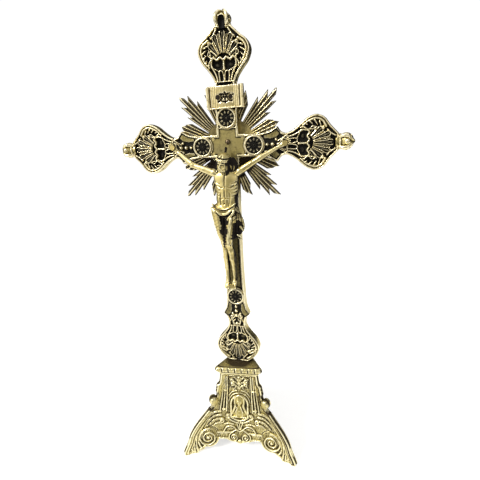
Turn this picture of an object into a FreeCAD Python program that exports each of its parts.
"""Standing altar crucifix in cast brass: a fretted cross with shell terminals, a sunburst of
rays behind the crossing, a corpus held by three nails, and a hollow three-legged base that
the cross is clamped to by one long stud.  Millimetres, +Z up, the cross faces -Y, and the
origin is on the table under the stud."""

import FreeCAD, Part
import math
import os

Vector = FreeCAD.Vector

# ---------------------------------------------------------------- driving dimensions
CROSS_Z = 289.0          # height of the crossing's centre above the table
PLATE_T = 7.0            # thickness of the cross casting
BEAM_HALF = 8.7          # half the width of a beam at the crossing
ARM_TIP = 84.0           # crossing to the end of a side or top arm, without its finial
FINIAL_TIP = 95.0        # crossing to the tip of a side finial
TOP_TIP = 93.0           # crossing to the tip of the top finial
FOOT_SHIFT = 113.4       # how much longer the lower arm is
ROSETTE_R = 7.8
ROSETTE_OFFSET = 21.0    # crossing to the upper three rosettes
LOW_ROSETTE_Z = -130.0   # the fourth rosette, under the feet
ROSETTE_T = 1.5
GLORY_T = 2.0            # sunburst plate behind the cross
GLORY_HUB_R = 22.5
RAYS_X = -1.2            # the rays spring from a little beside the stem's middle
TITULUS_Z = 35.6
TITULUS_X = 0.6          # the board hangs a little to one side
TITULUS_HALF_W = 13.8
TITULUS_HALF_H = 8.5
TITULUS_T = 2.0
TITULUS_PROUD = 2.0      # gap between the scroll and the cross
RIVET_R = 1.2
HAND_X = 45.4            # crossing to a hand nail
HAND_Z = 0.6
FEET_X = -0.6            # the feet nail
FEET_Z = -115.6
STUD_R = 2.5
STUD_BOTTOM = 16.5       # lower end of the stud above the table
STUD_GRIP = 12.0         # length of stud held in the cross
RUN_GAP = 0.06           # radial running clearance on the stud
CAP_BOTTOM = 81.0
CAP_TOP = 91.1
SEAT_Z = 91.5            # the boss that the cross stands on
SEAT_GAP = 0.1           # cross foot to boss
PANEL_T = 2.6
RIB_HALF_W = 2.4         # half the width of a corner rib
BRIDGE_Z = 28.5          # underside of the tie bridge
BRIDGE_T = 3.0
WASHER_T = 1.0
NUT_T = 4.0
NUT_FLATS = 8.0
BASE_TURN = 5.8          # the base stands this many degrees round from the cross

FRONT = -PLATE_T / 2
BACK = PLATE_T / 2
SQRT3_2 = math.sqrt(3) / 2


# ---------------------------------------------------------------- small helpers
def save(name, shape):
    """One node, one file."""
    shape = shape.removeSplitter()
    if not shape.isValid():
        print("not valid:", name)
    shape.exportStep(os.path.join("parts", name + ".step"))
    box = shape.BoundBox
    print(f"{name}: {len(shape.Solids)} solid(s), {shape.Volume:.0f} mm3, "
          f"z {box.ZMin:.1f} to {box.ZMax:.1f}")


def at_crossing(x, z, y=0.0):
    """A point given from the crossing's centre."""
    return Vector(x, y, CROSS_Z + z)


def spline(points):
    curve = Part.BSplineCurve()
    curve.interpolate(points)
    return curve.toShape()


def chain(runs, place):
    """Edges along runs of (u, v) points: two points are a line, more are a smooth curve."""
    edges = []
    for run in runs:
        points = [place(u, v) for u, v in run]
        edges.append(Part.makeLine(*points) if len(points) == 2 else spline(points))
    return edges


def extrude_wire(edges, direction):
    wire = Part.Wire(Part.__sortEdges__(edges))
    return Part.Face(wire).extrude(direction)


def rod(start, end, radius):
    axis = end - start
    return Part.makeCylinder(radius, axis.Length, start, axis)


def y_rod(x, z, y0, y1, radius):
    """A round bar along Y, placed from the crossing."""
    return rod(at_crossing(x, z, y0), at_crossing(x, z, y1), radius)


def ellipsoid(centre, rx, ry, rz):
    matrix = FreeCAD.Matrix()
    matrix.scale(rx, ry, rz)
    ball = Part.makeSphere(1.0).transformGeometry(matrix)
    ball.translate(centre)
    return ball


def ellipse_wire(centre, rx, ry):
    """A level ellipse: rx across, ry front to back."""
    if rx >= ry:
        curve = Part.Ellipse(centre, rx, ry)
    else:
        curve = Part.Ellipse(centre + Vector(0, ry, 0), centre + Vector(rx, 0, 0), centre)
    return Part.Wire([curve.toShape()])


def limb(stations):
    """A smooth loft through level ellipses: (x, y, z, half width, half depth), z from the crossing."""
    wires = [ellipse_wire(at_crossing(x, z, y), rx, ry) for x, y, z, rx, ry in stations]
    return Part.makeLoft(wires, True, False)


# ---------------------------------------------------------------- the cross
# Half outline of an arm, u out along the arm and v across it: beam, ear, neck, shell.
SHELL = [(45.5, 7.8), (50.0, 9.6), (55.0, 13.2), (60.5, 17.7), (67.3, 20.1), (73.5, 17.9), (78.0, 12.4),
         (ARM_TIP, 6.1)]
ARM_RUNS = [
    [(BEAM_HALF, BEAM_HALF), (25.0, 8.5)],
    [(25.0, 8.5), (32.0, 9.8), (38.8, 13.2)],
    [(38.8, 13.2), (41.5, 9.4), SHELL[0]],
    SHELL,
]
FOOT_SHELL = [(u + FOOT_SHIFT, v) for u, v in SHELL[:4]]
FOOT_SHELL += [(u + FOOT_SHIFT, v) for u, v in ((67.3, 20.5), (74.3, 18.9), (79.8, 14.4), (ARM_TIP, 9.2))]
FOOT_RUNS = [
    [(BEAM_HALF, BEAM_HALF), (24.0, 7.7), (60.0, 7.3), (100.0, 7.4), (125.0, 8.3), (138.0, 8.9)],
    [(138.0, 8.9), (143.0, 10.2), (148.0, 12.1)],
    [(148.0, 12.1), (150.5, 9.4), (154.5, 8.0)],
    [(154.5, 8.0), FOOT_SHELL[0]],
    FOOT_SHELL,
]


def arm_edges(runs, turn):
    """Both sides and the end of one arm, turned about the crossing."""
    c, s = math.cos(turn), math.sin(turn)

    def place(u, v):
        return at_crossing(u * c - v * s, u * s + v * c, FRONT)

    mirrored = [[(u, -v) for u, v in run] for run in runs]
    tip_u, tip_v = runs[-1][-1]
    end = Part.makeLine(place(tip_u, tip_v), place(tip_u, -tip_v))
    return chain(runs, place) + chain(mirrored, place) + [end]


def cross_casting():
    edges = []
    for runs, degrees in ((ARM_RUNS, 0), (ARM_RUNS, 90), (ARM_RUNS, 180), (FOOT_RUNS, 270)):
        edges += arm_edges(runs, math.radians(degrees))
    body = extrude_wire(edges, Vector(0, PLATE_T, 0))
    foot = Part.makeCylinder(4.4, 4.0, Vector(0, 0, SEAT_Z + SEAT_GAP))
    body = body.fuse(foot)
    holes = [y_rod(x, z, FRONT - 1, BACK + 1, RIVET_R) for x, z in ROSETTES.values()]
    holes += [y_rod(x, z, FRONT - 1, BACK + 1, RIVET_R) for x, z in GLORY_RIVETS]
    holes += [y_rod(x, TITULUS_Z, FRONT - 1, BACK + 1, 1.0) for x in TITULUS_RIVET_X]
    holes += [y_rod(x, z, FRONT - 1, BACK + 1, NAIL_R) for x, z in NAILS.values()]
    holes += [rod(Vector(0, 0, SEAT_Z - 1), Vector(0, 0, SEAT_Z + STUD_GRIP), STUD_R)]
    tips = ((-1, 0, ARM_TIP), (1, 0, ARM_TIP), (0, 1, ARM_TIP))
    holes += [rod(at_crossing(dx * (u - SPIGOT_L), dz * (u - SPIGOT_L)), at_crossing(dx * (u + 1), dz * (u + 1)),
                  SPIGOT_R) for dx, dz, u in tips]
    return body.cut(Part.makeCompound(holes))


ROSETTES = {
    "rosette_left": (-ROSETTE_OFFSET, 0.0),
    "rosette_right": (ROSETTE_OFFSET, 0.0),
    "rosette_top": (0.0, ROSETTE_OFFSET),
    "rosette_bottom": (0.0, LOW_ROSETTE_Z),
}
TITULUS_RIVET_X = (-5.0, 5.0)
GLORY_RIVETS = ((-12.0, 5.6), (12.0, 5.6), (-12.0, -5.6), (12.0, -5.6), (0.0, 3.3))
NAIL_R = 1.1
NAILS = {
    "nail_left_hand": (-HAND_X, HAND_Z),
    "nail_right_hand": (HAND_X, HAND_Z),
    "nail_feet": (FEET_X, FEET_Z),
}
SPIGOT_R = 1.8
SPIGOT_L = 6.0


# ---------------------------------------------------------------- rosettes
def rosette(x, z):
    """A dished disc with a raised ring, eight petals, a boss and a rivet tail behind."""
    plate = y_rod(x, z, FRONT, FRONT - 0.7, ROSETTE_R)
    rim = y_rod(x, z, FRONT - 0.7, FRONT - ROSETTE_T, ROSETTE_R)
    rim = rim.cut(y_rod(x, z, FRONT, FRONT - ROSETTE_T - 1, 6.2))
    boss = y_rod(x, z, FRONT - 0.7, FRONT - ROSETTE_T, 1.3)
    tail = y_rod(x, z, BACK, FRONT, RIVET_R)
    pieces = [rim, boss, tail]
    for k in range(8):
        angle = k * math.pi / 4
        petal = y_rod(x + 3.3 * math.cos(angle), z + 3.3 * math.sin(angle), FRONT - 0.7,
                      FRONT - 1.3, 1.15)
        pieces.append(petal)
    return plate.multiFuse(pieces)


# ---------------------------------------------------------------- sunburst
# One quadrant of rays: (degrees from the side arm, length, half width near the tip).
RAYS = (
    (20.0, 42.0, 1.6), (24.4, 43.0, 1.6), (28.8, 39.5, 1.6),
    (37.0, 40.5, 1.6), (41.0, 49.0, 1.6), (45.0, 56.5, 1.7), (49.0, 50.5, 1.6), (53.0, 42.0, 1.6),
    (63.5, 38.0, 1.5), (67.5, 42.5, 1.6), (71.5, 40.0, 1.6),
)


def glory_plate():
    """A hub with stepped clusters of tapered rays, cut from one flat plate."""
    hub = y_rod(0, 0, BACK, BACK + GLORY_T, GLORY_HUB_R)
    rays = []
    for quadrant in range(4):
        for degrees, length, half in RAYS:
            if quadrant % 2:
                degrees = 90 - degrees
            angle = math.radians(quadrant * 90 + degrees)
            out = Vector(math.cos(angle), 0, math.sin(angle))
            side = Vector(-math.sin(angle), 0, math.cos(angle)) * half
            centre = at_crossing(RAYS_X, 0, BACK)
            root, waist, tip = centre + out * 12, centre + out * (length - 5), centre + out * length
            corners = [root - side * 0.6, waist - side, tip, waist + side, root + side * 0.6]
            wire = Part.makePolygon(corners + corners[:1])
            rays.append(Part.Face(wire).extrude(Vector(0, GLORY_T, 0)))
    plate = hub.multiFuse(rays)
    holes = [y_rod(x, z, BACK - 1, BACK + GLORY_T + 1, RIVET_R) for x, z in GLORY_RIVETS]
    holes += [y_rod(*ROSETTES[name], BACK - 1, BACK + GLORY_T + 1, RIVET_R + 0.8)
              for name in ("rosette_left", "rosette_right", "rosette_top")]
    return plate.cut(Part.makeCompound(holes))


def glory_rivets():
    """Four rivets flush with the front, headed over behind the plate."""
    rivets = []
    for x, z in GLORY_RIVETS[:4]:
        shank = y_rod(x, z, FRONT, BACK + GLORY_T, RIVET_R)
        head = y_rod(x, z, BACK + GLORY_T, BACK + GLORY_T + 1.0, 2.2)
        rivets.append(shank.fuse(head))
    return Part.makeCompound(rivets)


def centre_stud():
    """The round-headed stud above the corpus's head."""
    x, z = GLORY_RIVETS[4]
    shank = y_rod(x, z, FRONT, BACK + GLORY_T, RIVET_R)
    head = ellipsoid(at_crossing(x, z, FRONT), 2.1, 1.8, 2.1)
    head = head.cut(y_rod(x, z, FRONT, BACK, 4))
    tail = y_rod(x, z, BACK + GLORY_T, BACK + GLORY_T + 1.0, 2.2)
    return head.multiFuse([shank, tail])


# ---------------------------------------------------------------- titulus
def titulus_scroll():
    """The name board: a scroll with rolled ends on two short bosses."""
    y_back = FRONT - TITULUS_PROUD
    y_front = y_back - TITULUS_T
    plate = Part.makeBox(2 * TITULUS_HALF_W, TITULUS_T, 2 * TITULUS_HALF_H,
                         at_crossing(TITULUS_X - TITULUS_HALF_W, TITULUS_Z - TITULUS_HALF_H, y_front))
    rolls = [rod(at_crossing(x, TITULUS_Z - TITULUS_HALF_H, y_back - 0.6),
                 at_crossing(x, TITULUS_Z + TITULUS_HALF_H, y_back - 0.6), 1.7)
             for x in (TITULUS_X - TITULUS_HALF_W, TITULUS_X + TITULUS_HALF_W)]
    bosses = [y_rod(x, TITULUS_Z, FRONT, y_back, 2.2) for x in TITULUS_RIVET_X]
    scroll = plate.multiFuse(rolls + bosses)
    holes = [y_rod(x, TITULUS_Z, FRONT + 1, y_back - 0.8, 1.0) for x in TITULUS_RIVET_X]
    return scroll.cut(Part.makeCompound(holes))


def titulus_rivets():
    y_in = FRONT - TITULUS_PROUD - 0.8
    rivets = [y_rod(x, TITULUS_Z, y_in, BACK, 1.0).fuse(y_rod(x, TITULUS_Z, BACK, BACK + 1.0, 1.9))
              for x in TITULUS_RIVET_X]
    return Part.makeCompound(rivets)


# ---------------------------------------------------------------- finials
def finial(dx, dz, tip):
    """A round bud on a short collar, dished in front, with a spigot into the arm's end."""
    length = tip - ARM_TIP
    profile = [(0, 0), (5.2, 0), (5.2, 1.0), (4.6, 1.8)]
    runs = [Part.makeLine(Vector(r0, 0, h0), Vector(r1, 0, h1))
            for (r0, h0), (r1, h1) in zip(profile, profile[1:])]
    bud = spline([Vector(4.6, 0, 1.8), Vector(6.6, 0, 4.6), Vector(5.0, 0, length - 1.8),
                  Vector(0, 0, length)])
    axis = Part.makeLine(Vector(0, 0, length), Vector(0, 0, 0))
    face = Part.Face(Part.Wire(runs + [bud, axis]))
    knob = face.revolve(Vector(0, 0, 0), Vector(0, 0, 1), 360)
    dish = Part.makeSphere(3.2, Vector(0, -6.9, 4.8))
    spigot = Part.makeCylinder(SPIGOT_R, SPIGOT_L, Vector(0, 0, -SPIGOT_L))
    knob = knob.cut(dish).fuse(spigot)
    angle = math.degrees(math.atan2(dx, dz))
    knob.rotate(Vector(0, 0, 0), Vector(0, 1, 0), angle)
    knob.translate(at_crossing(dx * ARM_TIP, dz * ARM_TIP))
    return knob


# ---------------------------------------------------------------- corpus
def nail(x, z, y_head):
    shank = y_rod(x, z, y_head, BACK, NAIL_R)
    head = y_rod(x, z, y_head - 1.2, y_head, 2.0)
    return shank.fuse(head)


def corpus_body():
    """Head, torso, cloth and legs in one hollow-backed casting, drawn solid."""
    torso = limb([
        (-0.4, -8.8, -19.0, 9.4, 4.4), (-0.9, -10.0, -26.0, 9.0, 5.4), (-1.2, -10.6, -36.0, 8.2, 5.8),
        (-2.0, -10.0, -42.0, 9.6, 5.6), (-2.9, -9.8, -49.0, 11.2, 6.0),
    ])
    hips = limb([
        (-2.8, -9.8, -44.0, 11.2, 6.0), (-2.9, -10.0, -54.0, 11.6, 6.4), (-2.8, -10.6, -66.0, 9.0, 6.4),
        (-2.7, -11.2, -76.0, 6.6, 5.4),
    ])
    legs = [
        limb([(-6.3, -10.8, -70.0, 3.9, 5.0), (-6.3, -12.4, -79.0, 3.3, 4.2), (-5.3, -10.4, -90.0, 3.1, 3.8),
              (-4.1, -8.8, -103.0, 2.2, 2.9), (-3.6, -8.6, -110.0, 2.2, 2.8)]),
        limb([(0.3, -11.2, -70.0, 4.2, 5.2), (-0.3, -12.6, -79.0, 3.6, 4.4), (0.7, -10.4, -90.0, 3.2, 3.8),
              (2.0, -8.8, -103.0, 2.2, 2.9), (2.4, -8.6, -110.0, 2.2, 2.8)]),
    ]
    feet = limb([(-0.4, -8.6, -107.0, 4.6, 3.0), (-0.8, -9.6, -113.0, 5.6, 3.2), (-1.0, -8.6, -119.0, 5.6, 2.2)])
    drape = limb([(6.6, -8.2, -48.0, 2.0, 2.6), (8.2, -8.8, -60.0, 3.0, 3.8), (7.6, -9.0, -72.0, 2.2, 3.0)])
    neck = rod(at_crossing(0.4, -22.0, -10.0), at_crossing(-0.8, -13.0, -12.8), 3.2)
    head = ellipsoid(at_crossing(-0.6, -10.8, -13.4), 6.8, 7.0, 8.6)
    pad = Part.makeBox(8, 8.4 + FRONT, 20, at_crossing(-3.6, -56.0, -8.4))
    heel = Part.makeBox(6, 8.8 + FRONT, 6, at_crossing(-4.0, -116.0, -8.8))
    body = torso.multiFuse([hips, *legs, feet, drape, neck, head, pad, heel])
    front_half = Part.makeBox(60, 60, 160, at_crossing(-30, -140, FRONT - 60))
    body = body.common(front_half)
    x, z = NAILS["nail_feet"]
    body = body.cut(y_rod(x, z, -30, BACK, NAIL_R))
    return body.cut(on_side(arm_on_left(-1), -1)).cut(on_side(arm_on_left(1), 1))


# Shoulder, elbow and wrist of each arm: distance from the middle, and height from the crossing.
ARM_JOINTS = {
    -1: ((9.8, -20.4), (29.4, -13.4), (41.3, -3.6)),
    1: ((8.8, -20.0), (25.6, -9.9), (41.0, -1.8)),
}


def arm_on_left(side):
    """Upper arm, forearm and open palm, drawn on the viewer's left."""
    depths = (-8.6, -8.2, -6.2)
    shoulder, elbow, wrist = (at_crossing(-u, z, y) for (u, z), y in zip(ARM_JOINTS[side], depths))
    palm = at_crossing(-HAND_X, HAND_Z, -5.6)
    upper = Part.makeCone(3.6, 2.8, (elbow - shoulder).Length, shoulder, elbow - shoulder)
    fore = Part.makeCone(2.8, 1.9, (wrist - elbow).Length, elbow, wrist - elbow)
    hand = ellipsoid(palm, 5.4, 2.0, 3.2)
    joints = [ellipsoid(shoulder, 3.8, 3.8, 3.8), ellipsoid(elbow, 2.85, 2.85, 2.85),
              ellipsoid(wrist, 2.0, 2.0, 2.0)]
    return upper.multiFuse([fore, hand, *joints])


def on_side(shape, side):
    """The shape as drawn for the left, or its mirror image for the right."""
    return shape if side < 0 else shape.mirror(Vector(0, 0, 0), Vector(1, 0, 0))


def corpus_arm(side):
    """One arm with a flat back and its nail hole."""
    front_half = Part.makeBox(160, 60, 160, at_crossing(-80, -140, FRONT - 60))
    x, z = NAILS["nail_left_hand"]
    return on_side(arm_on_left(side).common(front_half).cut(y_rod(x, z, -30, BACK, NAIL_R)), side)


# ---------------------------------------------------------------- base
# Corner radius and middle-of-face distance from the axis, by height above the table.
CORNER = ((0.0, 61.6), (5.5, 60.3), (13.5, 56.5), (21.5, 53.6), (30.5, 47.4), (40.5, 37.6),
          (49.5, 28.8), (63.5, 22.2), (CAP_BOTTOM, 19.8))
FACE_MID = ((0.0, 23.4), (5.5, 22.7), (13.5, 21.2), (21.5, 19.7), (30.5, 18.0), (40.5, 16.2),
            (49.5, 14.5), (63.5, 11.9), (CAP_BOTTOM, 9.8))
FOOT_INNER = 41.0        # half the gap between the feet at the table
HEX_TURNS = (90, 210, 330)


def panel():
    """One face of the base: a bowed plate between two corner ribs, with a scrolled lower edge."""
    wires = []
    for (z, corner), (_, mid) in zip(CORNER, FACE_MID):
        half, reach = corner * SQRT3_2, corner / 2
        outer = Part.Arc(Vector(-half, -reach, z), Vector(0, -mid, z), Vector(half, -reach, z)).toShape()
        inner = Part.Arc(Vector(-half, -reach + PANEL_T, z), Vector(0, -mid + PANEL_T, z),
                         Vector(half, -reach + PANEL_T, z)).toShape()
        ends = [Part.makeLine(Vector(s * half, -reach, z), Vector(s * half, -reach + PANEL_T, z))
                for s in (-1, 1)]
        wires.append(Part.Wire(Part.__sortEdges__([outer, inner, *ends])))
    skin = Part.makeLoft(wires, True, False)
    return skin.common(panel_outline()).cut(Part.makeCompound([rib_slab(30), rib_slab(150)]))


def panel_outline():
    """The face's silhouette, as a block seen from the front: apron, pendant, foot volutes."""
    def place(x, z):
        return Vector(x, -80, z)

    half = [
        [(0, CAP_BOTTOM), (60, CAP_BOTTOM)],
        [(60, CAP_BOTTOM), (60, 0)],
        [(60, 0), (FOOT_INNER, 0)],
        [(FOOT_INNER, 0), (38.5, 3.6), (33.0, 6.3), (26.5, 6.9), (22.0, 10.1), (20.6, 14.1)],
        [(20.6, 14.1), (12.0, 13.7)],
        [(12.0, 13.7), (6.5, 12.3), (0, 9.5)],
    ]
    mirrored = [[(-x, z) for x, z in run] for run in half]
    return extrude_wire(chain(half, place) + chain(mirrored, place), Vector(0, 76, 0))


def rib_slab(degrees):
    """The slot that a corner rib stands in."""
    slab = Part.makeBox(90, 2 * RIB_HALF_W, 120, Vector(0, -RIB_HALF_W, -10))
    slab.rotate(Vector(0, 0, 0), Vector(0, 0, 1), -degrees)
    return slab


def corner_rib():
    """A curved bar up one corner with a shoulder volute at the top and a toe at the table."""
    outer = [(62.2, 0), (63.0, 2.4), (61.5, 6.0), (57.5, 13.5), (54.6, 21.5), (48.3, 30.5), (38.4, 40.5),
             (33.8, 45.0)]
    volute = [(33.8, 45.0), (33.6, 49.0), (32.8, 54.0), (29.8, 58.0), (26.4, 60.0)]
    leaf = [(26.4, 60.0), (25.4, 64.5), (24.2, 69.5), (21.9, 71.5)]
    neck = [(21.9, 71.5), (21.2, 76.0), (20.6, CAP_BOTTOM)]
    inner = [(11.0, CAP_BOTTOM), (13.4, 63.5), (18.6, 49.5), (26.0, 39.5), (35.0, 29.5), (40.6, 19.5),
             (42.4, 11.5), (42.6, 4.5), (42.0, 0)]

    def place(r, z):
        return Vector(r, -RIB_HALF_W, z)

    runs = [outer, volute, leaf, neck, [neck[-1], inner[0]], inner, [inner[-1], outer[0]]]
    return extrude_wire(chain(runs, place), Vector(0, 2 * RIB_HALF_W, 0))


def triangle_wire(mid, corner, z):
    """A triangle with cut corners, flat side to the front: mid is axis to side, corner axis to tip."""
    cut_half = (2 * mid - corner) / math.sqrt(3)
    points = []
    for turn in HEX_TURNS:
        for sign in (-1, 1):
            angle = math.radians(turn)
            tip = Vector(math.cos(angle), math.sin(angle), 0) * corner
            side = Vector(-math.sin(angle), math.cos(angle), 0) * cut_half * sign
            points.append(tip + side + Vector(0, 0, z))
    return Part.makePolygon(points + points[:1])


CAP_LEVELS = ((CAP_BOTTOM, 11.4, 21.2), (82.7, 12.0, 22.2), (83.9, 12.9, 23.8), (86.5, 14.1, 25.9),
              (88.9, 13.9, 25.5), (90.1, 12.1, 22.2), (CAP_TOP, 6.8, 11.8))


def base_cap():
    """Moulded three-sided collar that closes the base, with a boss for the cross to stand on."""
    solids = [Part.makeLoft([triangle_wire(m0, c0, z0), triangle_wire(m1, c1, z1)], True, True)
              for (z0, m0, c0), (z1, m1, c1) in zip(CAP_LEVELS, CAP_LEVELS[1:])]
    boss = Part.makeCylinder(6.0, SEAT_Z - CAP_TOP + 1, Vector(0, 0, CAP_TOP - 1))
    body = solids[0].multiFuse(solids[1:] + [boss])
    pocket = Part.makeCylinder(7.0, 6.0, Vector(0, 0, CAP_BOTTOM - 1))
    hole = Part.makeCylinder(STUD_R + RUN_GAP, 30, Vector(0, 0, CAP_BOTTOM - 5))
    return body.cut(pocket).cut(hole)


# ---------------------------------------------------------------- clamp
def tie_stud():
    return rod(Vector(0, 0, STUD_BOTTOM), Vector(0, 0, SEAT_Z + STUD_GRIP), STUD_R)


def tie_bridge():
    """Three-armed strap under the base that the nut pulls up against the ribs."""
    hub = Part.makeCylinder(8.0, BRIDGE_T, Vector(0, 0, BRIDGE_Z))
    arms = []
    for turn in HEX_TURNS:
        arm = Part.makeBox(38.5, 4.6, BRIDGE_T, Vector(0, -2.3, BRIDGE_Z))
        arm.rotate(Vector(0, 0, 0), Vector(0, 0, 1), turn)
        arms.append(arm)
    hole = Part.makeCylinder(STUD_R + 0.25, BRIDGE_T + 2, Vector(0, 0, BRIDGE_Z - 1))
    ribs = Part.makeCompound([corner_rib_at(turn) for turn in HEX_TURNS])
    return hub.multiFuse(arms).cut(hole).cut(ribs)


def tie_washer():
    disc = Part.makeCylinder(5.5, WASHER_T, Vector(0, 0, BRIDGE_Z - WASHER_T))
    return disc.cut(Part.makeCylinder(STUD_R + 0.2, WASHER_T + 2, Vector(0, 0, BRIDGE_Z - WASHER_T - 1)))


def tie_nut():
    top = BRIDGE_Z - WASHER_T - 0.1
    radius = NUT_FLATS / 2 / SQRT3_2
    points = [Vector(radius * math.cos(k * math.pi / 3), radius * math.sin(k * math.pi / 3), top - NUT_T)
              for k in range(6)]
    body = Part.Face(Part.makePolygon(points + points[:1])).extrude(Vector(0, 0, NUT_T))
    return body.cut(Part.makeCylinder(STUD_R + 0.05, NUT_T + 2, Vector(0, 0, top - NUT_T - 1)))


def corner_rib_at(turn):
    rib = corner_rib()
    rib.rotate(Vector(0, 0, 0), Vector(0, 0, 1), turn)
    return rib


def panel_at(turn):
    face = panel()
    face.rotate(Vector(0, 0, 0), Vector(0, 0, 1), turn)
    return face


def set_down(shape):
    """Turns a piece of the base to the angle at which the base stands under the cross."""
    shape.rotate(Vector(0, 0, 0), Vector(0, 0, 1), BASE_TURN)
    return shape


# ---------------------------------------------------------------- write the nodes
def main():
    os.makedirs("parts", exist_ok=True)
    save("cross_casting", cross_casting())
    for name, (x, z) in ROSETTES.items():
        save(name, rosette(x, z))
    save("glory_plate", glory_plate())
    save("glory_rivets", glory_rivets())
    save("centre_stud", centre_stud())
    save("titulus_scroll", titulus_scroll())
    save("titulus_rivets", titulus_rivets())
    save("finial_left", finial(-1, 0, FINIAL_TIP))
    save("finial_right", finial(1, 0, FINIAL_TIP))
    save("finial_top", finial(0, 1, TOP_TIP))
    save("corpus_body", corpus_body())
    save("corpus_arm_left", corpus_arm(-1))
    save("corpus_arm_right", corpus_arm(1))
    save("nail_left_hand", nail(*NAILS["nail_left_hand"], -7.8))
    save("nail_right_hand", nail(*NAILS["nail_right_hand"], -7.8))
    save("nail_feet", nail(*NAILS["nail_feet"], -12.8))
    save("base_cap", set_down(base_cap()))
    for name, turn in (("panel_front", 0), ("panel_rear_right", 120), ("panel_rear_left", 240)):
        save(name, set_down(panel_at(turn)))
    for name, turn in (("rib_rear", 90), ("rib_front_left", 210), ("rib_front_right", 330)):
        save(name, set_down(corner_rib_at(turn)))
    save("tie_stud", tie_stud())
    save("tie_bridge", set_down(tie_bridge()))
    save("tie_washer", tie_washer())
    save("tie_nut", tie_nut())


main()
